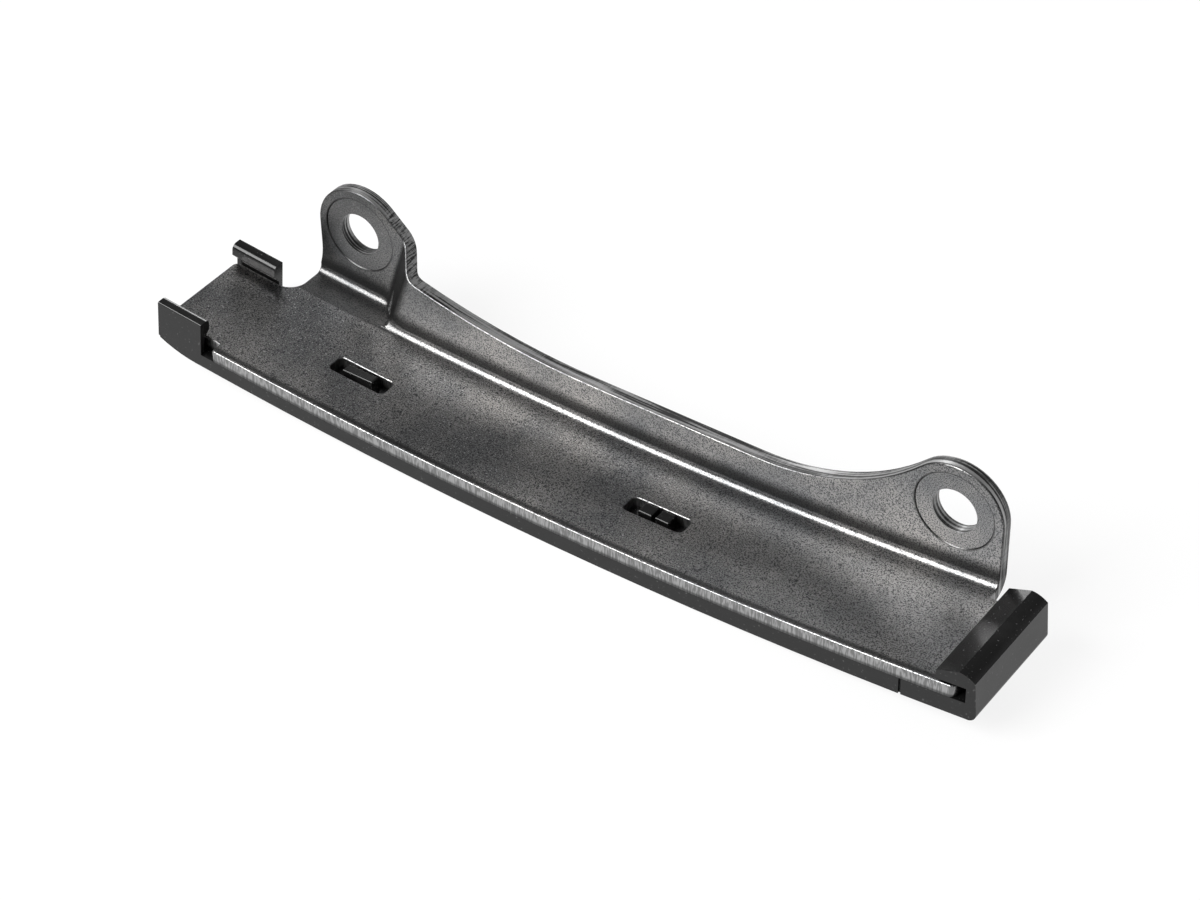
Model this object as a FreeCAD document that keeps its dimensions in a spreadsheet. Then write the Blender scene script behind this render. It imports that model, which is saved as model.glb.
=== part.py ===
"""Timing chain guide: a stamped steel mounting bracket with a moulded plastic shoe clipped to it.

Frame: the origin is the centre of the right bolt hole on its bolt seat. X runs along the line of the
two bolt holes, Y runs from the front edge to the back, and Z is up. Lengths are in millimetres.
The chain runs along the lower face of the shoe.
"""
import FreeCAD, Part
import math
import os

import Sketcher
from FreeCAD import Vector

SIZES = {
    # Bolt holes, bolt seats and ears
    "hole_dia": 7.0,
    "hole_span": 105.0,
    "seat_dia": 12.4,
    "seat_depth": 0.15,
    "seat_angle": 40.0,
    "ear_radius": 7.6,
    # Steel sheet and its bend
    "sheet_thick": 2.0,
    "bend_radius": 1.2,
    # Plate under the chain line, curved along X
    "plate_radius": 650.0,
    "plate_drop": 12.7,
    "plate_width": 20.5,
    "left_reach": 19.2,
    "right_reach": 12.9,
    # Upper edge of the wall between the ears
    "web_drop": 5.6,
    "right_blend": 37.0,
    "left_blend_run": 45.0,
    "foot_run": 12.3,
    "foot_drop": 1.0,
    "foot_round": 1.6,
    # Left side of the left ear, which spreads towards the plate
    "flare_drop": 4.6,
    "flare_out": 0.6,
    # Joggle that sets the left ear back
    "ear_setback": 4.2,
    "joggle_angle": 45.0,
    "joggle_top_start": 18.1,
    "joggle_top_radius": 1.7,
    "joggle_base_start": 8.1,
    "joggle_base_radius": 4.6,
    # Notches at the left end and the tongue at the right end
    "notch_run": 10.1,
    "front_notch": 1.9,
    "rear_inset": 2.5,
    "rear_blend": 3.0,
    "corner_round": 1.0,
    "notch_corner": 0.5,
    "tongue_inset": 1.1,
    # Rounded rim that the stamping die leaves on the inner side of the sheet
    "rim_round": 0.3,
    # Slots through the plate
    "slot_length": 10.0,
    "slot_width": 3.1,
    "slot_corner": 0.8,
    "slot_line": 9.45,
    "first_slot": 11.6,
    "second_slot": 64.3,
    # Plastic shoe
    "shoe_width": 19.0,
    "shoe_thick": 2.5,
    "shoe_clearance": 0.03,
    "foot_shift": 3.0,
    "lead_run": 6.7,
    "lead_rise": 1.25,
    "groove_place": 4.6,
    "groove_width": 0.4,
    "groove_depth": 0.3,
    # Barbed clips at the left end of the shoe
    "clip_length": 8.2,
    "clip_stem": 0.8,
    "clip_reach": 1.95,
    "clip_height": 3.8,
    "nose_foot": 1.9,
    "nose_round": 0.9,
    "clip_edge": 0.25,
    "neck_height": 0.5,
    # Cap that takes the right end of the plate
    "lip_cover": 3.0,
    "lip_gap": 0.5,
    "lip_thick": 1.5,
    "cap_play": 1.6,
    "cap_wall": 1.7,
    "cap_rise": 3.0,
    "crest_back": 2.9,
    "cap_shoulder": 1.8,
    "shoulder_round": 4.0,
    "cap_set_in": 0.4,
    "cap_round": 1.4,
    # Pegs that stand in the slots
    "peg_rise": 0.3,
    "peg_width": 1.6,
    "peg_length": 5.5,
    "peg_offset": 0.15,
    "twin_width": 2.1,
    "twin_length": 2.25,
    "twin_pitch": 2.85,
    "peg_round": 0.25,
}

XY, XZ, YZ = "XY_Plane", "XZ_Plane", "YZ_Plane"
START, END, CENTRE = 1, 2, 3
ORIGIN_POINT = (-1, 1)
BLANK_EXTRA = "Sizes.right_reach"

# Places worked out from the sizes, as expressions
X_MID = "(-Sizes.hole_span / 2)"
X_LEFT_HOLE = "(-Sizes.hole_span)"
X_LEFT = "(-Sizes.hole_span - Sizes.left_reach)"
X_RIGHT = "Sizes.right_reach"
Y_WALL = "(-Sizes.seat_depth)"
Y_EAR = "(Sizes.ear_setback - Sizes.seat_depth)"
Y_FRONT = "(-Sizes.seat_depth - Sizes.plate_width)"
Y_SHOE_BACK = f"({Y_FRONT} + Sizes.shoe_width)"
Z_ARC = "(Sizes.plate_radius - Sizes.plate_drop)"
Z_TOP = "(Sizes.ear_radius + Sizes.sheet_thick)"
Z_BASE = "(-Sizes.plate_drop - 2 * Sizes.sheet_thick)"
X_NOTCH = f"({X_LEFT} + Sizes.notch_run)"
X_FLARE = f"({X_LEFT_HOLE} - Sizes.ear_radius - Sizes.flare_out)"
X_FIRST_SLOT = f"({X_LEFT_HOLE} + Sizes.first_slot)"
X_SECOND_SLOT = f"({X_LEFT_HOLE} + Sizes.second_slot)"
R_UNDER = "(Sizes.plate_radius + Sizes.sheet_thick)"
R_SHOE_TOP = f"({R_UNDER} + Sizes.shoe_clearance)"
R_SHOE_FOOT = f"({R_SHOE_TOP} + Sizes.shoe_thick)"

doc = FreeCAD.newDocument("timing_chain_guide")
sheet = doc.addObject("Spreadsheet::Sheet", "Sizes")
for row, (alias, size) in enumerate(SIZES.items(), start=1):
    sheet.set(f"A{row}", alias)
    sheet.set(f"B{row}", str(size))
    sheet.setAlias(f"B{row}", alias)
doc.recompute()


def number(text):
    """The value of an expression on the sheet."""
    return float(sheet.evalExpression(text))


def z_on_arc(radius, x):
    """Height of a circle of this radius about the plate's centre of curvature, at x."""
    return f"({Z_ARC} - sqrt(({radius})^2 - ({x} - {X_MID})^2))"


def z_on_foot(x):
    """Height of the shoe's running face, an arc whose centre lies further right, at x."""
    return f"({Z_ARC} - sqrt(({R_SHOE_FOOT})^2 - ({x} - {X_MID} - Sizes.foot_shift)^2))"


Z_FLARE_FOOT = f"({z_on_arc('Sizes.plate_radius', X_LEFT)} + Sizes.sheet_thick / 8)"


def new_body(label):
    """An empty body."""
    body = doc.addObject("PartDesign::Body", label)
    body.Label = label
    return body


def sketch_on(body, name, role, offset="0"):
    """A sketch on one of the body's own origin planes, moved along the plane's normal."""
    sketch = body.newObject("Sketcher::SketchObject", name)
    plane = next(item for item in body.Origin.OriginFeatures if item.Role == role)
    sketch.AttachmentSupport = [(plane, "")]
    sketch.MapMode = "FlatFace"
    sketch.setExpression("AttachmentOffset.Base.z", offset)
    return sketch


def tie(sketch, kind, geometry, point, text):
    """Bind one coordinate of a sketch point to an expression."""
    index = sketch.addConstraint(Sketcher.Constraint(kind, *ORIGIN_POINT, geometry, point, number(text)))
    sketch.setExpression(f"Constraints[{index}]", text)


def pin(sketch, geometry, point, x, y):
    """Bind both coordinates of a sketch point."""
    tie(sketch, "DistanceX", geometry, point, x)
    tie(sketch, "DistanceY", geometry, point, y)


def arc_between(start, end, radius, turn):
    """The short arc from start to end: turn is 1 where it turns left and -1 where it turns right."""
    chord = end - start
    half = chord.Length / 2
    side = Vector(-chord.y, chord.x, 0).normalize() * turn
    centre = start + chord / 2 + side * math.sqrt(max(radius**2 - half**2, 0.0))
    first, last = (start, end) if turn > 0 else (end, start)
    angles = [math.atan2(point.y - centre.y, point.x - centre.x) for point in (first, last)]
    if angles[1] < angles[0]:
        angles[1] += 2 * math.pi
    return Part.ArcOfCircle(Part.Circle(centre, Vector(0, 0, 1), radius), *angles)


def outline(sketch, corners):
    """A closed outline through corners (x, y) or (x, y, radius, turn), where an arc leads on to the next."""
    spots = [Vector(number(corner[0]), number(corner[1]), 0) for corner in corners]
    pieces = []
    for index, corner in enumerate(corners):
        start, end = spots[index], spots[(index + 1) % len(spots)]
        if len(corner) == 2:
            geometry = sketch.addGeometry(Part.LineSegment(start, end))
            pieces.append((geometry, START, END))
        else:
            radius, turn = corner[2], corner[3]
            geometry = sketch.addGeometry(arc_between(start, end, number(radius), turn))
            pieces.append((geometry, START, END) if turn > 0 else (geometry, END, START))
    for index, (geometry, _, end) in enumerate(pieces):
        following, start, _ = pieces[(index + 1) % len(pieces)]
        sketch.addConstraint(Sketcher.Constraint("Coincident", geometry, end, following, start))
    for (geometry, start, _), corner in zip(pieces, corners):
        pin(sketch, geometry, start, corner[0], corner[1])
        if len(corner) > 2:
            index = sketch.addConstraint(Sketcher.Constraint("Radius", geometry, number(corner[2])))
            sketch.setExpression(f"Constraints[{index}]", corner[2])
    doc.recompute()


def circle(sketch, x, y, diameter):
    """A circle bound to the sheet."""
    centre = Vector(number(x), number(y), 0)
    geometry = sketch.addGeometry(Part.Circle(centre, Vector(0, 0, 1), number(diameter) / 2))
    tie(sketch, "DistanceX", geometry, CENTRE, x)
    tie(sketch, "DistanceY", geometry, CENTRE, y)
    index = sketch.addConstraint(Sketcher.Constraint("Diameter", geometry, number(diameter)))
    sketch.setExpression(f"Constraints[{index}]", diameter)


def rectangle(x_low, x_high, y_low, y_high):
    """Corners of an upright rectangle."""
    return [(x_low, y_low), (x_high, y_low), (x_high, y_high), (x_low, y_high)]


def rounded_rectangle(x_mid, y_mid, length, width, corner):
    """Corners of a rectangle with round corners, about its middle."""
    x_out, y_out = f"({length}) / 2", f"({width}) / 2"
    x_in, y_in = f"({x_out} - {corner})", f"({y_out} - {corner})"
    return [
        (f"{x_mid} - {x_in}", f"{y_mid} - {y_out}"),
        (f"{x_mid} + {x_in}", f"{y_mid} - {y_out}", corner, 1),
        (f"{x_mid} + {x_out}", f"{y_mid} - {y_in}"),
        (f"{x_mid} + {x_out}", f"{y_mid} + {y_in}", corner, 1),
        (f"{x_mid} + {x_in}", f"{y_mid} + {y_out}"),
        (f"{x_mid} - {x_in}", f"{y_mid} + {y_out}", corner, 1),
        (f"{x_mid} - {x_out}", f"{y_mid} + {y_in}"),
        (f"{x_mid} - {x_out}", f"{y_mid} - {y_in}", corner, 1),
    ]


def pad(body, sketch, length, reverse=False, both=False):
    """A pad of the sketch along its normal."""
    feature = body.newObject("PartDesign::Pad", sketch.Name + "_pad")
    feature.Profile = sketch
    feature.setExpression("Length", length)
    feature.Reversed = reverse
    feature.Midplane = both
    doc.recompute()
    return feature


def ruled_loft(body, base, top):
    """A solid whose sides run straight from the base sketch to the top sketch."""
    feature = body.newObject("PartDesign::AdditiveLoft", base.Name + "_loft")
    feature.Profile = base
    feature.Sections = [(top, [""])]
    feature.Ruled = True
    doc.recompute()
    return feature


def pocket(body, sketch, length=None, taper=None):
    """A pocket against the sketch's normal: through all both ways, or to a depth."""
    before = body.Shape.Volume
    feature = body.newObject("PartDesign::Pocket", sketch.Name + "_pocket")
    feature.Profile = sketch
    if length is None:
        feature.Type = "ThroughAll"
        feature.Midplane = True
    else:
        feature.setExpression("Length", length)
    if taper is not None:
        feature.setExpression("TaperAngle", taper)
    doc.recompute()
    if body.Shape.Volume >= before:
        raise RuntimeError(f"{feature.Name} cuts nothing")
    return feature


def round_edges(body, name, base, radius, wanted):
    """A fillet on those edges of the last feature that the test picks."""
    edges = [f"Edge{index}" for index, edge in enumerate(base.Shape.Edges, start=1) if wanted(edge)]
    if not edges:
        raise RuntimeError(f"{name} finds no edge")
    feature = body.newObject("PartDesign::Fillet", name)
    feature.Base = (base, edges)
    feature.setExpression("Radius", radius)
    doc.recompute()
    return feature


def middle_of(edge):
    """The point half way along an edge."""
    return edge.valueAt((edge.FirstParameter + edge.LastParameter) / 2)


def near(value, target, within=0.02):
    """Whether two lengths agree."""
    return abs(value - target) < within


def along_z(edge):
    """Whether the edge is straight and upright."""
    return isinstance(edge.Curve, Part.Line) and abs(edge.Curve.Direction.z) > 0.999


def upright_edge(x, y, within=0.02):
    """A test for the upright edge at x, y."""
    def wanted(edge):
        spot = middle_of(edge)
        return along_z(edge) and near(spot.x, x, within) and near(spot.y, y, within)
    return wanted


def is_sharp(shape, edge):
    """Whether the faces on both sides of the edge meet at more than 30 degrees."""
    spot = middle_of(edge)
    normals = []
    for face in shape.ancestorsOfType(edge, Part.Face):
        normals.append(face.normalAt(*face.Surface.parameter(spot)))
    return len(normals) == 2 and normals[0].getAngle(normals[1]) > math.pi / 6


def joggle_path(depth, start, radius):
    """The wall's face from the main wall to the set-back ear, this deep in the sheet."""
    turn = "Sizes.joggle_angle"
    inner, outer = radius, f"({radius} + Sizes.sheet_thick)"
    near_ear, near_wall = (inner, outer) if depth == "0" else (outer, inner)
    both = f"({inner} + {outer})"
    straight = f"((Sizes.ear_setback - {both} * (1 - cos({turn}))) / sin({turn}))"
    x_ear = f"({X_LEFT_HOLE} - Sizes.ear_radius + {start})"
    x_wall = f"({x_ear} + {both} * sin({turn}) + {straight} * cos({turn}))"
    y_ear, y_wall = f"({Y_EAR} + {depth})", f"({Y_WALL} + {depth})"
    return [
        (x_wall, y_wall, near_wall, -1),
        (f"{x_wall} - {near_wall} * sin({turn})", f"{y_wall} + {near_wall} * (1 - cos({turn}))"),
        (f"{x_ear} + {near_ear} * sin({turn})", f"{y_ear} - {near_ear} * (1 - cos({turn}))", near_ear, 1),
        (x_ear, y_ear),
    ]


def add_joggle(body, depth, x_step):
    """The joggle from the set-back ear to the main wall, which fans out towards the plate."""
    sections = []
    for place, level in (("base", Z_BASE), ("top", Z_TOP)):
        section = sketch_on(body, f"{body.Label}_joggle_{place}", XY, level)
        path = joggle_path(depth, f"Sizes.joggle_{place}_start", f"Sizes.joggle_{place}_radius")
        y_inside = f"({Y_WALL} + {depth} - Sizes.sheet_thick)"
        outline(section, [(x_step, y_inside), (path[0][0], y_inside), *path, (x_step, path[-1][1])])
        sections.append(section)
    ruled_loft(body, *sections)


def sheet_form(label, depth, front, spread, under, bend):
    """A solid bounded by one face of the sheet: that face of the wall behind and of the plate below."""
    body = new_body(label)
    x_low, x_high = f"({X_LEFT} - {spread})", f"({X_RIGHT} + {spread})"
    x_step = f"({X_LEFT_HOLE} - Sizes.ear_radius + Sizes.joggle_base_start / 2)"
    y_wall, y_ear = f"({Y_WALL} + {depth})", f"({Y_EAR} + {depth})"
    plan = sketch_on(body, label + "_plan", XY, Z_BASE)
    outline(plan, [(x_low, front), (x_high, front), (x_high, y_wall), (x_step, y_wall),
                   (x_step, y_ear), (x_low, y_ear)])
    pad(body, plan, f"({Z_TOP} - {Z_BASE})")
    add_joggle(body, depth, x_step)
    side = sketch_on(body, label + "_curve", XZ)
    x_out = "(Sizes.plate_radius / 4)"
    low = f"(-Sizes.plate_drop - Sizes.sheet_thick - 2 * {spread})"
    curve_left, curve_right = f"({X_MID} - {x_out})", f"({X_MID} + {x_out})"
    level = z_on_arc(under, curve_right)
    outline(side, [(curve_left, level, under, 1), (curve_right, level), (curve_right, low),
                   (curve_left, low)])
    cut = pocket(body, side)
    centre = Vector(number(X_MID), 0, number(Z_ARC))

    def along_bend(edge):
        spot = middle_of(edge)
        radius = math.hypot(spot.x - centre.x, spot.z - centre.z)
        on_curve = near(radius, number(under))
        along_plate = abs(edge.tangentAt(edge.FirstParameter).y) < 0.95
        return on_curve and along_plate and spot.y > number(Y_WALL) - 0.01

    round_edges(body, label + "_bend", cut, bend, along_bend)
    return body


def stamped_sheet():
    """The bent sheet before its outline is cut: what lies between its rear form and its front form."""
    rear_bend = "Sizes.bend_radius + Sizes.sheet_thick"
    body = sheet_form("mounting_bracket", "Sizes.sheet_thick", Y_FRONT, BLANK_EXTRA, R_UNDER, rear_bend)
    inner = sheet_form("inner_form", "0", f"({Y_FRONT} - {BLANK_EXTRA})", f"(2 * {BLANK_EXTRA})",
                       "Sizes.plate_radius", "Sizes.bend_radius")
    sheet_body = body.newObject("PartDesign::Boolean", "sheet_between_forms")
    sheet_body.setObjects([inner])
    sheet_body.Type = "Cut"
    doc.recompute()
    return body, inner


def cut_wall_outline(body):
    """Cut the wall to its outline, seen from the front: left ear, web and right ear."""
    ear = "Sizes.ear_radius"
    x_ear_left = f"({X_LEFT_HOLE} - {ear})"
    x_foot, z_foot = f"({X_LEFT_HOLE} + Sizes.foot_run)", "(-Sizes.foot_drop)"
    foot_reach = "sqrt(Sizes.foot_run^2 + Sizes.foot_drop^2)"
    lean = f"(acos({ear} / {foot_reach}) - atan(Sizes.foot_drop / Sizes.foot_run))"
    x_web_left, z_web = f"({X_LEFT_HOLE} + Sizes.left_blend_run)", "(-Sizes.web_drop)"
    run, rise = f"({x_web_left} - {x_foot})", "(Sizes.web_drop - Sizes.foot_drop)"
    left_blend = f"(({run}^2 + {rise}^2) / (2 * {rise}))"
    z_blend, reach = "(Sizes.right_blend - Sizes.web_drop)", f"(Sizes.right_blend + {ear})"
    x_blend = f"(-sqrt({reach}^2 - {z_blend}^2))"
    z_flare_top = "(-Sizes.flare_drop)"
    drop = f"({z_flare_top} - {Z_FLARE_FOOT})"
    flare = f"(({drop}^2 + Sizes.flare_out^2) / (2 * Sizes.flare_out))"
    x_frame_left, x_frame_right = f"({X_LEFT} - 3 * {BLANK_EXTRA})", f"({X_RIGHT} + 3 * {BLANK_EXTRA})"
    z_frame = f"({ear} + 3 * {BLANK_EXTRA})"
    side = sketch_on(body, "wall_outline", XZ)
    outline(side, [
        (x_frame_left, z_frame),
        (x_frame_left, Z_FLARE_FOOT),
        (X_FLARE, Z_FLARE_FOOT, flare, 1),
        (x_ear_left, z_flare_top),
        (x_ear_left, "0", ear, -1),
        (X_LEFT_HOLE, ear, ear, -1),
        (f"{X_LEFT_HOLE} + {ear} * cos({lean})", f"{ear} * sin({lean})"),
        (x_foot, z_foot, left_blend, 1),
        (x_web_left, z_web),
        (x_blend, z_web, "Sizes.right_blend", 1),
        (f"{x_blend} * {ear} / {reach}", f"{z_blend} * {ear} / {reach}", ear, -1),
        ("0", ear, ear, -1),
        (ear, "0"),
        (ear, z_flare_top),
        (x_frame_right, z_flare_top),
        (x_frame_right, z_frame),
    ])
    return pocket(body, side)


def cut_plate_ends(body):
    """Cut both ends of the plate in plan: the clip notches at the left, the tongue at the right."""
    y_out, y_back = f"({Y_FRONT} - {BLANK_EXTRA})", f"({Y_EAR} + {BLANK_EXTRA})"
    x_out_left, x_out_right = f"({X_LEFT} - 3 * {BLANK_EXTRA})", f"({X_RIGHT} + 3 * {BLANK_EXTRA})"
    y_notch, y_rear = f"({Y_FRONT} + Sizes.front_notch)", f"({Y_WALL} - Sizes.rear_inset)"
    y_tongue = f"({Y_WALL} - Sizes.bend_radius - Sizes.tongue_inset)"
    plan = sketch_on(body, "plate_ends", XY)
    outline(plan, [
        (x_out_left, y_out), (X_NOTCH, y_out), (X_NOTCH, y_notch), (X_LEFT, y_notch),
        (X_LEFT, y_rear), (X_FLARE, y_rear), (X_FLARE, y_back), (x_out_left, y_back),
    ])
    outline(plan, [
        (X_RIGHT, y_out), (x_out_right, y_out), (x_out_right, y_back),
        ("Sizes.ear_radius", y_back), ("Sizes.ear_radius", y_tongue), (X_RIGHT, y_tongue),
    ])
    cut = pocket(body, plan)
    x_left, x_notch, x_flare = number(X_LEFT), number(X_NOTCH), number(X_FLARE)
    rear_blend = round_edges(body, "rear_blend_corner", cut, "Sizes.rear_blend",
                             upright_edge(x_flare, number(y_rear)))
    ends = [(x_left, number(y_notch)), (x_left, number(y_rear)), (number(X_RIGHT), number(Y_FRONT)),
            (number(X_RIGHT), number(y_tongue))]
    tests = [upright_edge(x, y) for x, y in ends]
    corners = round_edges(body, "end_corners", rear_blend, "Sizes.corner_round",
                          lambda edge: any(test(edge) for test in tests))
    return round_edges(body, "notch_front_corner", corners, "Sizes.notch_corner",
                       upright_edge(x_notch, number(Y_FRONT)))


def cut_slots(body):
    """Two slots through the plate for the pegs of the shoe."""
    plan = sketch_on(body, "slots", XY)
    y_line = f"({Y_FRONT} + Sizes.slot_line)"
    for x_slot in (X_FIRST_SLOT, X_SECOND_SLOT):
        outline(plan, rounded_rectangle(x_slot, y_line, "Sizes.slot_length", "Sizes.slot_width",
                                        "Sizes.slot_corner"))
    return pocket(body, plan)


def round_rims(body, base, inner):
    """Round the cut edges that lie on the inner side of the sheet."""
    skin = Part.Compound(inner.Shape.Faces)

    def on_skin(spot):
        return skin.distToShape(Part.Vertex(spot))[0] < 0.005

    def wanted(edge):
        spots = (edge.firstVertex().Point, middle_of(edge), edge.lastVertex().Point)
        return all(on_skin(spot) for spot in spots) and is_sharp(base.Shape, edge)

    return round_edges(body, "rims", base, "Sizes.rim_round", wanted)


def cut_bolt_holes(body):
    """Both bolt holes and the coined seats round them on the front faces."""
    side = sketch_on(body, "bolt_holes", XZ)
    for x_hole in ("0", X_LEFT_HOLE):
        circle(side, x_hole, "0", "Sizes.hole_dia")
    pocket(body, side)
    for name, x_hole, y_face in (("right_seat", "0", Y_WALL), ("left_seat", X_LEFT_HOLE, Y_EAR)):
        seat = sketch_on(body, name, XZ, f"(-{y_face})")
        circle(seat, x_hole, "0", "Sizes.seat_dia")
        pocket(body, seat, "Sizes.seat_depth", "-Sizes.seat_angle")


def round_foot(body, outlined):
    """Round the corner where the left ear rises from the web."""
    x_foot = -number("Sizes.hole_span") + number("Sizes.foot_run")
    z_foot = -number("Sizes.foot_drop")
    return round_edges(body, "ear_foot", outlined, "Sizes.foot_round",
                       lambda edge: all(near(v.X, x_foot) and near(v.Z, z_foot) for v in edge.Vertexes))


def mounting_bracket():
    """One stamped sheet: a curved plate with a wall bent up behind it, which carries both bolt holes."""
    body, inner = stamped_sheet()
    outlined = cut_wall_outline(body)
    round_foot(body, outlined)
    cut_plate_ends(body)
    slotted = cut_slots(body)
    round_rims(body, slotted, inner)
    cut_bolt_holes(body)
    return body


def shoe_profile(body):
    """The strip along the underside of the plate and the cap that takes the plate's right end."""
    r_lip = "(Sizes.plate_radius - Sizes.lip_gap)"
    r_lip_top = f"({r_lip} - Sizes.lip_thick)"
    x_pocket = f"({X_RIGHT} + Sizes.cap_play)"
    x_end = f"({x_pocket} + Sizes.cap_wall)"
    x_lip = f"({X_RIGHT} - Sizes.lip_cover)"
    x_crest = f"({x_end} - Sizes.crest_back)"
    z_crest = f"({z_on_arc('Sizes.plate_radius', x_crest)} + Sizes.cap_rise)"
    z_edge = f"({z_on_arc('Sizes.plate_radius', x_end)} + Sizes.cap_shoulder)"
    x_foot = f"({x_end} - Sizes.cap_round)"
    z_foot = z_on_foot(x_foot)
    x_lead, z_end = f"({X_LEFT} + Sizes.lead_run)", f"({z_on_foot(X_LEFT)} + Sizes.lead_rise)"
    lead = "((Sizes.lead_run^2 + Sizes.lead_rise^2) / (2 * Sizes.lead_rise))"
    side = sketch_on(body, "shoe_side", XZ, f"(-{Y_FRONT})")
    outline(side, [
        (X_LEFT, z_on_arc(R_SHOE_TOP, X_LEFT), R_SHOE_TOP, 1),
        (x_pocket, z_on_arc(R_SHOE_TOP, x_pocket)),
        (x_pocket, z_on_arc(r_lip, x_pocket), r_lip, -1),
        (x_lip, z_on_arc(r_lip, x_lip)),
        (x_lip, z_on_arc(r_lip_top, x_lip)),
        (x_crest, z_crest, "Sizes.shoulder_round", -1),
        (f"({x_end} - Sizes.cap_set_in)", z_edge),
        (x_end, f"({z_foot} + Sizes.cap_round)", "Sizes.cap_round", -1),
        (x_foot, z_foot, R_SHOE_FOOT, -1),
        (x_lead, z_on_foot(x_lead), lead, -1),
        (X_LEFT, z_end),
    ])
    return pad(body, side, "Sizes.shoe_width", reverse=True)


def add_clips(body):
    """The two barbed clips that hold the plate's left end, square to the plate."""
    x_clip = f"({X_LEFT} + Sizes.clip_length / 2)"
    foot = "(-Sizes.sheet_thick - Sizes.shoe_thick / 4)"
    top, nose, edge = "Sizes.clip_height", "Sizes.nose_round", "Sizes.clip_edge"
    profile = [
        ("0", foot), ("Sizes.clip_stem", foot), ("Sizes.clip_stem", "Sizes.neck_height"),
        ("Sizes.clip_reach", "Sizes.nose_foot"), ("Sizes.clip_reach", f"({top} - {nose})", nose),
        (f"(Sizes.clip_reach - {nose})", top), (edge, top, edge), ("0", f"({top} - {edge})"),
    ]
    for name, y_face, inward, turn in (("front_clip", Y_FRONT, "+", 1), ("rear_clip", Y_SHOE_BACK, "-", -1)):
        section = sketch_on(body, name, YZ, x_clip)
        section.setExpression("AttachmentOffset.Base.y", z_on_arc("Sizes.plate_radius", x_clip))
        section.setExpression("AttachmentOffset.Rotation.Axis.x", "1")
        section.setExpression("AttachmentOffset.Rotation.Axis.z", "0")
        tilt = f"asin(({X_MID} - {x_clip}) / Sizes.plate_radius)"
        section.setExpression("AttachmentOffset.Rotation.Angle", tilt)
        outline(section, [(f"({y_face} {inward} {spot[0]})", spot[1], *spot[2:], *[turn] * (len(spot) - 2))
                          for spot in profile])
        pad(body, section, "Sizes.clip_length", both=True)


def add_pegs(body):
    """One peg in the first slot and a split pair in the second."""
    y_line = f"({Y_FRONT} + Sizes.slot_line)"
    half_pitch = "Sizes.twin_pitch / 2"
    pegs = (
        ("peg", X_FIRST_SLOT, ["-Sizes.peg_offset"], "Sizes.peg_length", "Sizes.peg_width"),
        ("twin_pegs", X_SECOND_SLOT, [f"-{half_pitch}", f"+{half_pitch}"], "Sizes.twin_length",
         "Sizes.twin_width"),
    )
    for name, x_slot, places, length, width in pegs:
        top = f"({z_on_arc('Sizes.plate_radius', x_slot)} + Sizes.peg_rise)"
        plan = sketch_on(body, name, XY, top)
        x_half, y_half = f"{length} / 2", f"{width} / 2"
        for place in places:
            x_peg = f"{x_slot} {place}"
            outline(plan, rectangle(f"({x_peg} - {x_half})", f"({x_peg} + {x_half})",
                                    f"({y_line} - {y_half})", f"({y_line} + {y_half})"))
        feature = pad(body, plan, "Sizes.peg_rise + Sizes.sheet_thick + Sizes.shoe_thick / 2", reverse=True)
        height = number(top)
        round_edges(body, name + "_round", feature, "Sizes.peg_round",
                    lambda edge: all(near(vertex.Z, height) for vertex in edge.Vertexes))


def sliding_shoe():
    """The moulded plastic shoe that the chain runs on."""
    body = new_body("sliding_shoe")
    shoe_profile(body)
    add_clips(body)
    add_pegs(body)
    groove = sketch_on(body, "side_groove", XZ, f"(-{Y_FRONT})")
    half = "Sizes.groove_width / 2"
    outline(groove, rectangle(f"(Sizes.groove_place - {half})", f"(Sizes.groove_place + {half})",
                              f"({z_on_foot('Sizes.groove_place')} - Sizes.shoe_thick)",
                              "(-Sizes.plate_drop + Sizes.sheet_thick / 2)"))
    pocket(body, groove, "Sizes.groove_depth")
    return body


def check(parts):
    """Stop unless every object of the document is sound and each part is one valid solid."""
    for item in doc.Objects:
        if "Invalid" in item.State or "Error" in item.State:
            raise RuntimeError(f"{item.Name} failed: {item.State}")
    for body in parts:
        shape = body.Shape
        if shape.isNull() or not shape.isValid() or len(shape.Solids) != 1:
            raise RuntimeError(f"{body.Label} is not one valid solid")


def write(parts):
    """Write each part to a file that has its name."""
    os.makedirs("parts", exist_ok=True)
    for body in parts:
        body.Shape.exportStep(f"parts/{body.Label}.step")


parts = [mounting_bracket(), sliding_shoe()]
doc.recompute()
check(parts)
write(parts)
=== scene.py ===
"""Timing chain guide on a pale floor: the camera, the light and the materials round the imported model."""

import math

import bpy
from mathutils import Matrix, Vector


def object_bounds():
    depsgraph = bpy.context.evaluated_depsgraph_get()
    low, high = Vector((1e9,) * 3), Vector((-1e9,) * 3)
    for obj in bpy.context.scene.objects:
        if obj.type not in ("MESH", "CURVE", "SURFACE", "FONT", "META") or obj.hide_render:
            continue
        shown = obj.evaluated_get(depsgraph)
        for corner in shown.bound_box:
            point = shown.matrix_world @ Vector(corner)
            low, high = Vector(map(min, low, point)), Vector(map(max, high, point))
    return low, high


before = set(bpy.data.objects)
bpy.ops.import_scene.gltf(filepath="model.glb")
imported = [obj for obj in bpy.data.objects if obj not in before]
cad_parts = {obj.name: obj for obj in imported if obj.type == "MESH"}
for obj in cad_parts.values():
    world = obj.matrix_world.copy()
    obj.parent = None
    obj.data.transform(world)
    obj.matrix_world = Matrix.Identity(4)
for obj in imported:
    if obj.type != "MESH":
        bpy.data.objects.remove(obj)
CAD_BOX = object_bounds()

# The camera, as worked out from the photograph, in metres and degrees
TARGET = Vector((-0.0584056, -0.00015, -0.0168799))
DISTANCE = 0.4823464
AZIMUTH = 35.992
ELEVATION = 40.024
ROLL = -1.1212
SENSOR_WIDTH = 36.0
LENS = 99.706

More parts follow.
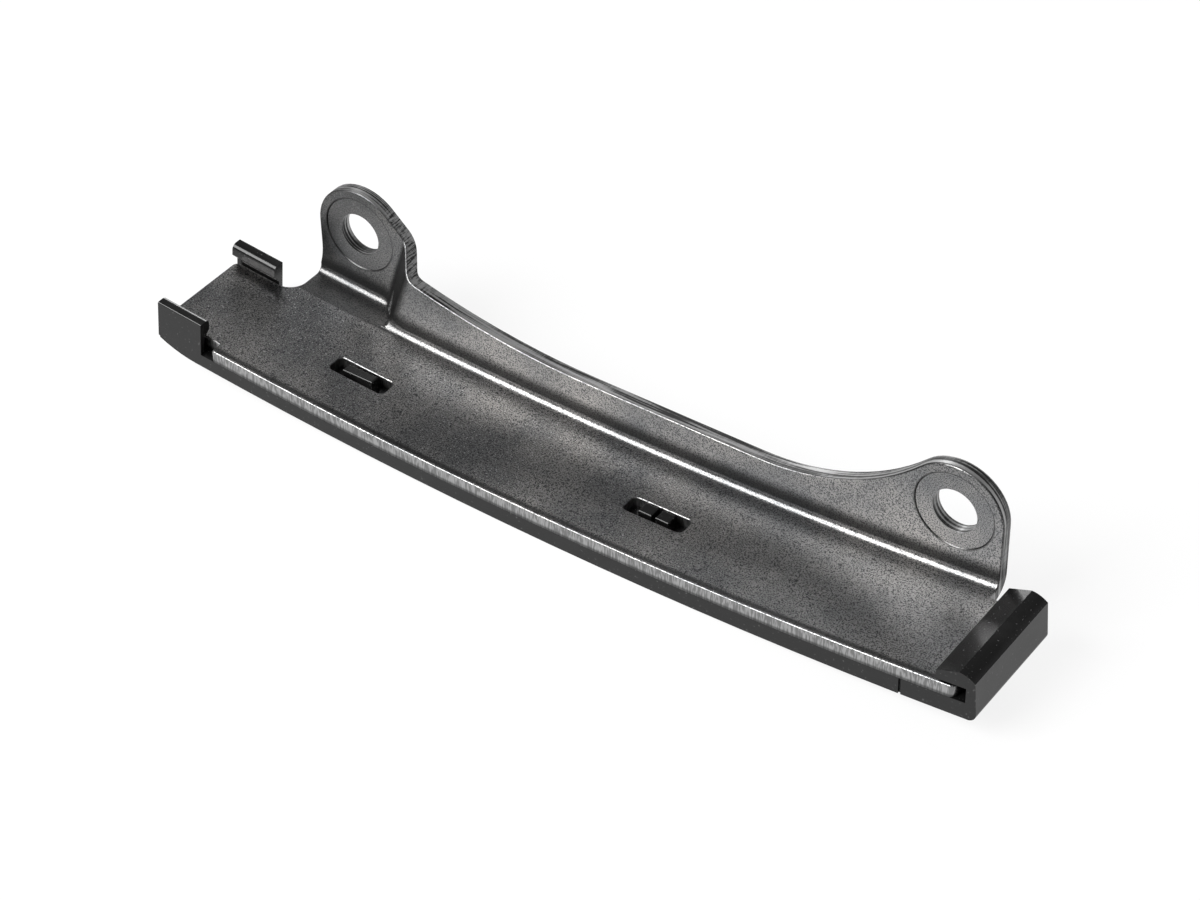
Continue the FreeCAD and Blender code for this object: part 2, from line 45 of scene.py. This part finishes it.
# Places on the model, in metres
FLOOR_Z = CAD_BOX[0].z
PLATE_RADIUS = 0.650
PLATE_CENTRE = (-0.0525, 0.6373)
BEND_RADIUS = 0.0012
BEND_Y = -0.00135
FRONT_Y = -0.02065
SETBACK = 0.0042
SETBACK_X = -0.098
HOLE_SPAN = 0.105
RING_RADIUS = 0.0062
SHOE_FRONT_Y = -0.0202
CAP_END_X = 0.0150

# Linear greys
# Painted shade: the dark lines inside the front rim and round the pressed rings
PAINTED_DARK = 0.03
# Painted sheen: the lighter steel towards the plate's right end
PAINTED_SHEEN_GREY = 0.50
GLINT = 0.85
BLACK_PLASTIC = 0.0035


class Nodes:
    """A short way to write a node tree."""

    def __init__(self, tree):
        self.tree = tree
        tree.nodes.clear()

    def add(self, kind, settings=None, **inputs):
        """Add a node: settings are its properties, and inputs are values or sockets by input name."""
        node = self.tree.nodes.new(kind)
        for key, value in (settings or {}).items():
            setattr(node, key, value)
        for key, value in inputs.items():
            self.set(node, key.replace("_", " "), value)
        return node

    def set(self, node, name, value):
        """Set one input of a node, named or given as n and its number, to a value or a socket."""
        numbered = name[0] == "n" and name[1:].isdigit()
        socket = node.inputs[int(name[1:])] if numbered else node.inputs[name]
        if isinstance(value, bpy.types.NodeSocket):
            self.tree.links.new(value, socket)
        else:
            socket.default_value = value

    def math(self, operation, *values):
        """One math node."""
        inputs = {f"n{index}": value for index, value in enumerate(values)}
        return self.add("ShaderNodeMath", {"operation": operation}, **inputs).outputs[0]

    def vector(self, operation, *values, output=0):
        """One vector math node."""
        inputs = {f"n{index}": value for index, value in enumerate(values)}
        return self.add("ShaderNodeVectorMath", {"operation": operation}, **inputs).outputs[output]

    def times(self, first, second):
        """The product of two values."""
        return self.math("MULTIPLY", first, second)

    def plus(self, first, second):
        """The sum of two values."""
        return self.math("ADD", first, second)

    def minus(self, first, second):
        """The first value less the second."""
        return self.math("SUBTRACT", first, second)

    def combine(self, x, y, z):
        """A vector from three values."""
        return self.add("ShaderNodeCombineXYZ", n0=x, n1=y, n2=z).outputs[0]

    def parts(self, vector):
        """The three values of a vector."""
        return self.add("ShaderNodeSeparateXYZ", Vector=vector).outputs

    def ramp(self, value, low, high):
        """A smooth step from 0 to 1 as the value goes from low to high."""
        node = self.add("ShaderNodeMapRange", {"interpolation_type": "SMOOTHSTEP", "clamp": True})
        for name, setting in (("Value", value), ("From Min", low), ("From Max", high)):
            self.set(node, name, setting)
        return node.outputs[0]

    def span(self, value, low, high):
        """The value from 0 to 1 spread from low to high."""
        node = self.add("ShaderNodeMapRange", {"clamp": True})
        for name, setting in (("Value", value), ("To Min", low), ("To Max", high)):
            self.set(node, name, setting)
        return node.outputs[0]

    def noise(self, vector, scale, detail=2.0, roughness=0.5):
        """Noise at a scale, in features a metre."""
        inputs = {"Vector": vector, "Scale": scale, "Detail": detail, "Roughness": roughness}
        return self.add("ShaderNodeTexNoise", **inputs).outputs[0]

    def stretch(self, vector, factors):
        """The coordinates stretched by a factor along each axis."""
        return self.vector("MULTIPLY", vector, factors)

    def between(self, factor, first, second):
        """A value between two."""
        return self.add("ShaderNodeMix", n0=factor, n2=first, n3=second).outputs[0]

    def blend(self, factor, first, second):
        """A vector between two."""
        settings = {"data_type": "VECTOR"}
        return self.add("ShaderNodeMix", settings, n0=factor, n4=first, n5=second).outputs[1]

    def mix(self, factor, first, second):
        """A colour between two."""
        settings = {"data_type": "RGBA"}
        return self.add("ShaderNodeMix", settings, n0=factor, n6=first, n7=second).outputs[2]

    def bump(self, height, strength, distance, normal=None):
        """A bump from a height."""
        node = self.add("ShaderNodeBump", Height=height, Strength=strength, Distance=distance)
        if normal is not None:
            self.set(node, "Normal", normal)
        return node.outputs[0]


def material(name):
    """An empty node material and its tree."""
    made = bpy.data.materials.new(name)
    made.use_nodes = True
    return made, Nodes(made.node_tree)


def grey(level, tint=(1.0, 1.0, 1.0)):
    """A linear colour."""
    return tuple(level * part for part in tint) + (1.0,)


def sheet_skin(n, place):
    """The height above the plate's top face, and the true normal of the bent sheet's nearer face."""
    x, y, z = n.parts(place)
    dx, dz = n.minus(x, PLATE_CENTRE[0]), n.minus(z, PLATE_CENTRE[1])
    reach = n.math("SQRT", n.plus(n.times(dx, dx), n.times(dz, dz)))
    height = n.minus(PLATE_RADIUS, reach)
    up_x = n.math("DIVIDE", n.times(dx, -1.0), reach)
    up_z = n.math("DIVIDE", n.times(dz, -1.0), reach)
    set_back = n.times(n.math("LESS_THAN", x, SETBACK_X), SETBACK)
    behind = n.math("MAXIMUM", n.minus(n.minus(y, BEND_Y), set_back), 0.0)
    below = n.math("MINIMUM", n.minus(height, BEND_RADIUS), 0.0)
    inward = n.vector("MULTIPLY", n.combine(up_x, 0.0, up_z), n.combine(below, below, below))
    skin = n.vector("ADD", n.combine(0.0, behind, 0.0), inward)
    return height, n.vector("NORMALIZE", skin)


def shear_marks(n, place, height, on_wall):
    """The cut edges: fine ribs across the plate's edges, coarse ones across the wall's edges."""
    x, y, _ = n.parts(place)
    comb = n.noise(n.combine(x, n.times(y, 0.3), n.times(height, 0.15)), 4300.0, 1.0, 0.5)
    ribs = n.noise(n.stretch(place, (1.0, 0.12, 1.0)), 3600.0, 2.0, 0.7)
    bands = n.noise(n.stretch(place, (0.03, 1.0, 0.03)), 2600.0, 2.0, 0.5)
    by_ear = n.times(n.ramp(x, -0.102, -0.098), n.ramp(x, -0.087, -0.092))
    wall_marks = n.between(n.span(by_ear, 0.12, 0.75), bands, ribs)
    return n.between(on_wall, comb, wall_marks)


def cut_tone(n, shear, height, on_wall):
    """The colour of the cut edges, with a painted contact shadow where the plate's edge meets the shoe."""
    low = n.mix(on_wall, grey(0.20), grey(0.03))
    high = n.mix(on_wall, grey(0.38), grey(0.34))
    tone = n.mix(n.ramp(shear, 0.40, 0.60), low, high)
    # Painted shadow along the bottom of the plate's cut edge, against the shoe.
    painted_shade_foot = n.times(n.ramp(height, -0.0013, -0.0018), n.minus(1.0, on_wall))
    return n.mix(n.times(painted_shade_foot, 0.75), tone, grey(0.04))


def face_tone(n, place, grain, clouds, on_wall):
    """The colour of the sheet's faces: cloudy and grained, with a painted sheen on the plate's right and a
    painted dark reflection on the wall, darkest at the left ear.
    """
    x, _, _ = n.parts(place)
    cool, warm = grey(0.18, (0.99, 1.0, 1.02)), grey(0.33, (1.03, 1.0, 0.97))
    tone = n.mix(n.ramp(clouds, 0.35, 0.68), cool, warm)
    # Painted dark reflection: the wall's faces darker than the plate's.
    tone = n.mix(n.times(on_wall, 0.27), tone, grey(0.02))
    # Painted sheen: the plate lighter towards its right end.
    painted_sheen = n.times(n.ramp(x, -0.045, 0.010), n.minus(1.0, on_wall))
    tone = n.mix(n.times(painted_sheen, 0.25), tone, grey(PAINTED_SHEEN_GREY))
    # Painted dark reflection, stronger on the left ear.
    painted_ear_reflection = n.times(n.ramp(x, -0.085, -0.100), on_wall)
    tone = n.mix(n.times(painted_ear_reflection, 0.55), tone, grey(0.05))
    tone = n.mix(n.ramp(grain, 0.46, 0.60), tone, grey(0.055, (0.97, 1.0, 1.03)))
    sparkle = n.ramp(n.noise(n.stretch(place, (1.0, 1.07, 1.0)), 4800.0, 1.0, 0.5), 0.64, 0.72)
    calm = n.math("MAXIMUM", n.ramp(x, -0.075, 0.005), on_wall)
    return n.mix(n.times(sparkle, n.span(calm, 0.6, 0.1)), tone, grey(GLINT))


def painted_dark_lines(n, place, facing, tone):
    """The colour with a painted dark reflection inside the front rim and a painted shade line round the
    pressed rings.
    """
    x, y, z = n.parts(place)
    # Painted dark reflection inside the front rim.
    rim_start = n.ramp(y, FRONT_Y + 0.00025, FRONT_Y + 0.00045)
    rim_end = n.ramp(y, FRONT_Y + 0.00145, FRONT_Y + 0.00075)
    tone = n.mix(n.times(n.times(rim_start, rim_end), 0.8), tone, grey(PAINTED_DARK))
    # Painted shade round the pressed rings, on faces toward the front.
    across = n.math("MINIMUM", n.math("ABSOLUTE", x), n.math("ABSOLUTE", n.plus(x, HOLE_SPAN)))
    reach = n.vector("LENGTH", n.combine(across, 0.0, z), output=1)
    ring = n.ramp(n.math("ABSOLUTE", n.minus(reach, RING_RADIUS)), 0.00022, 0.00008)
    to_front = n.ramp(n.parts(facing)[1], -0.3, -0.7)
    return n.mix(n.times(n.times(ring, to_front), 0.7), tone, grey(PAINTED_DARK))


def painted_shade_mask(n, facing, height, on_wall):
    """Where shade is painted: along the foot of the wall and in the joggle."""
    painted_shade_foot = n.times(n.ramp(height, 0.0042, 0.0020), n.ramp(height, 0.0008, 0.0013))
    leaning = n.ramp(n.parts(facing)[0], -0.20, -0.55)
    return n.times(n.math("MAXIMUM", painted_shade_foot, leaning), on_wall)


def steel():
    """Oiled sheet steel: a fine sparkling grain, a cloudy sheen and sheared cut edges."""
    made, n = material("steel_sheet")
    place = n.add("ShaderNodeTexCoord").outputs["Object"]
    facing = n.add("ShaderNodeNewGeometry").outputs["Normal"]
    height, skin = sheet_skin(n, place)
    agree = n.vector("DOT_PRODUCT", skin, facing, output=1)
    cut = n.ramp(n.math("ABSOLUTE", agree), 0.60, 0.35)
    on_skin = n.ramp(n.math("ABSOLUTE", agree), 0.78, 0.86)
    outward = n.math("SIGN", agree)
    skin = n.vector("MULTIPLY", skin, n.combine(outward, outward, outward))
    smooth = n.blend(on_skin, facing, skin)
    on_wall = n.ramp(n.parts(place)[1], BEND_Y - 0.0002, BEND_Y + 0.0002)

    grain = n.noise(place, 5000.0, 2.0, 0.6)
    clouds = n.noise(place, 62.0, 4.0, 0.6)
    wear = n.noise(place, 420.0, 2.0, 0.5)
    shear = shear_marks(n, place, height, on_wall)
    painted_shade = painted_shade_mask(n, facing, height, on_wall)
    tone = painted_dark_lines(n, place, facing, face_tone(n, place, grain, clouds, on_wall))
    # Painted shade: the sheet darkened along the wall's foot and in the joggle.
    tone = n.mix(n.times(painted_shade, 0.82), tone, grey(0.012))
    colour = n.mix(cut, tone, cut_tone(n, shear, height, on_wall))
    rough = n.plus(n.span(clouds, 0.24, 0.36), n.span(wear, -0.03, 0.05))
    rough = n.plus(rough, n.times(cut, 0.06))
    rough = n.plus(rough, n.times(painted_shade, 0.22))

    fine = n.bump(grain, 0.60, 0.00004, smooth)
    cut_bump = n.bump(shear, 0.35, 0.00006, facing)
    shader = n.add("ShaderNodeBsdfPrincipled", Base_Color=colour, Roughness=rough, Metallic=1.0)
    n.set(shader, "Normal", n.blend(cut, fine, cut_bump))
    n.add("ShaderNodeOutputMaterial", Surface=shader.outputs[0])
    return made


def plastic():
    """Moulded black plastic: glossy on top, and dull with rubbed scratches on the sides."""
    made, n = material("black_shoe")
    place = n.add("ShaderNodeTexCoord").outputs["Object"]
    facing = n.add("ShaderNodeNewGeometry").outputs["Normal"]
    lean, _, up = n.parts(facing)
    x, y, _ = n.parts(place)
    at_front = n.ramp(y, SHOE_FRONT_Y + 0.0007, SHOE_FRONT_Y)
    at_end = n.ramp(x, CAP_END_X - 0.0010, CAP_END_X)
    side = n.times(n.ramp(n.math("ABSOLUTE", up), 0.5, 0.2), n.math("MAXIMUM", at_front, at_end))
    grain = n.noise(place, 3000.0, 3.0, 0.6)
    dust = n.noise(place, 160.0, 4.0, 0.6)
    specks = n.ramp(n.noise(place, 2600.0, 1.0, 0.5), 0.70, 0.76)
    scratches = n.noise(n.stretch(place, (0.04, 1.0, 1.0)), 5000.0, 2.0, 0.5)

    colour = n.mix(n.ramp(dust, 0.45, 0.8), grey(BLACK_PLASTIC), grey(0.010))
    colour = n.mix(n.times(side, 0.6), colour, grey(0.007))
    colour = n.mix(n.times(specks, 0.5), colour, grey(0.10))
    rough = n.plus(n.span(dust, 0.10, 0.22), n.span(scratches, 0.0, 0.06))
    dull = n.math("MAXIMUM", side, n.times(n.ramp(lean, -0.02, -0.10), 0.2))
    rough = n.plus(rough, n.times(dull, 0.16))
    scored = n.bump(scratches, 0.08, 0.00003, n.bump(grain, 0.12, 0.00003))
    shader = n.add("ShaderNodeBsdfPrincipled", Base_Color=colour, Roughness=rough, Normal=scored)
    n.set(shader, "IOR", 1.37)
    n.add("ShaderNodeOutputMaterial", Surface=shader.outputs[0])
    return made


def floor_material():
    """A white floor that keeps the object's shadow."""
    made, n = material("floor")
    path = n.add("ShaderNodeLightPath")
    seen = n.math("MAXIMUM", path.outputs["Is Camera Ray"], path.outputs["Is Glossy Ray"])
    seen = n.math("MAXIMUM", seen, path.outputs["Is Transmission Ray"])
    place = n.add("ShaderNodeTexCoord").outputs["Object"]
    tone = n.mix(n.noise(place, 40.0, 3.0), grey(0.78), grey(0.80))
    lit = n.add("ShaderNodeBsdfPrincipled", Base_Color=tone, Roughness=0.85).outputs[0]
    white = n.add("ShaderNodeEmission", Color=grey(1.0), Strength=1.0).outputs[0]
    blend = n.add("ShaderNodeMixShader", n0=n.times(seen, 0.86), n1=lit, n2=white)
    n.add("ShaderNodeOutputMaterial", Surface=blend.outputs[0])
    return made


def camera_axes():
    """The camera's right, up and back directions."""
    azimuth, elevation, roll = (math.radians(angle) for angle in (AZIMUTH, ELEVATION, ROLL))
    level = math.cos(elevation)
    back = Vector((math.sin(azimuth) * level, -math.cos(azimuth) * level, math.sin(elevation)))
    right = Vector((math.cos(azimuth), math.sin(azimuth), 0.0))
    up = back.cross(right)
    turned_right = math.cos(roll) * right + math.sin(roll) * up
    turned_up = math.cos(roll) * up - math.sin(roll) * right
    return turned_right, turned_up, back


def add_camera():
    """The camera at the photograph's angle."""
    right, up, back = camera_axes()
    lens = bpy.data.cameras.new("camera")
    lens.sensor_fit = "HORIZONTAL"
    lens.sensor_width = SENSOR_WIDTH
    lens.lens = LENS
    lens.clip_start = 0.01
    camera = bpy.data.objects.new("camera", lens)
    bpy.context.collection.objects.link(camera)
    turn = Matrix((right, up, back)).transposed().to_4x4()
    camera.matrix_world = Matrix.Translation(TARGET + back * DISTANCE) @ turn
    bpy.context.scene.camera = camera


def add_area(name, direction, distance, size, watts):
    """A soft box that looks at the object from a direction."""
    lamp = bpy.data.lights.new(name, "AREA")
    lamp.shape = "RECTANGLE"
    lamp.size, lamp.size_y = size
    lamp.energy = watts
    holder = bpy.data.objects.new(name, lamp)
    bpy.context.collection.objects.link(holder)
    toward = Vector(direction).normalized()
    holder.location = TARGET + toward * distance
    holder.rotation_euler = toward.to_track_quat("Z", "Y").to_euler()


def add_floor():
    """A plain floor under the guide."""
    bpy.ops.mesh.primitive_plane_add(size=12.0, location=(TARGET.x, TARGET.y, FLOOR_Z))
    floor = bpy.context.object
    floor.name = "floor"
    floor.data.materials.append(floor_material())


def add_world():
    """The even light of a pale room, brighter low down behind the guide."""
    world = bpy.data.worlds.new("room")
    bpy.context.scene.world = world
    world.use_nodes = True
    n = Nodes(world.node_tree)
    direction = n.add("ShaderNodeTexCoord").outputs["Generated"]
    x, y, z = n.parts(direction)
    glow = n.times(n.ramp(y, 0.1, 0.6), n.ramp(z, 0.80, 0.40))
    glow = n.times(glow, n.ramp(x, -0.80, -0.60))
    room = n.span(n.ramp(z, 0.10, 0.45), 0.10, 0.28)
    level = n.math("MAXIMUM", room, n.span(glow, 0.0, 0.75))
    light = n.add("ShaderNodeBackground", Color=grey(1.0), Strength=level)
    n.add("ShaderNodeOutputWorld", Surface=light.outputs[0])


def dress():
    """Give each node of the model its material."""
    for name, made in (("mounting_bracket", steel()), ("sliding_shoe", plastic())):
        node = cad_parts[name]
        node.data.materials.clear()
        node.data.materials.append(made)


bpy.context.scene.view_settings.view_transform = "Standard"
add_camera()
add_world()
add_floor()
add_area("key", (-0.38, -0.65, 0.65), 0.9, (0.6, 0.6), 15.0)
add_area("rear", (-0.33, 0.86, 0.24), 1.0, (0.8, 0.35), 6.3)
dress()
